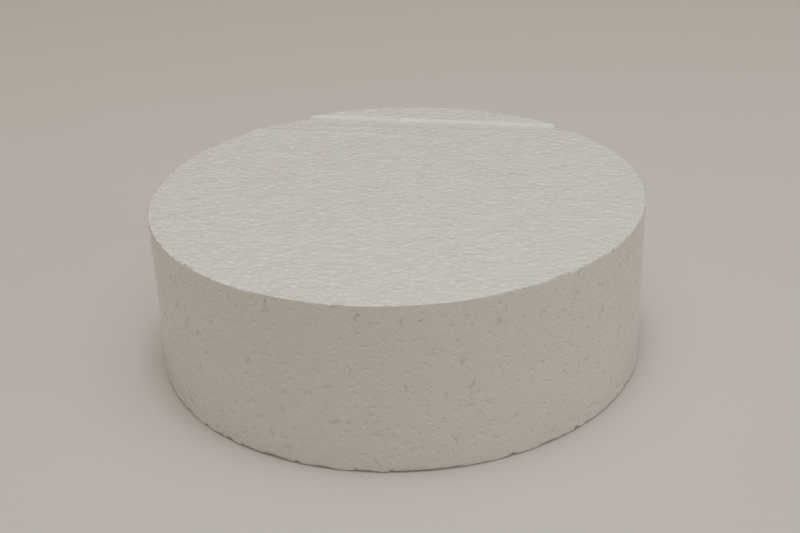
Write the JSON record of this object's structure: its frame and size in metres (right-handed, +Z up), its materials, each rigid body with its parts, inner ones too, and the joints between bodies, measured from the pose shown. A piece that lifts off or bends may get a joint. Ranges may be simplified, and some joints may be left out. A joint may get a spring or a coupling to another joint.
{
  "type": "foam block",
  "caption": "Round block of white rigid bead foam with flat faces, plain rims and a shallow straight wire mark near the edge of its top.",
  "frame": {"origin": "centre of the base, on the surface that the block stands on", "axes": "+Z up along the disc's axis, +X along the straight wire mark in the top face, which lies towards +Y"},
  "size_m": [0.152, 0.152, 0.052],
  "materials": {
    "bead_foam": "matt white expanded polystyrene, cut with a hot wire"
  },
  "bodies": {
    "root": {"foam_block": "bead_foam"}
  },
  "joints": []
}
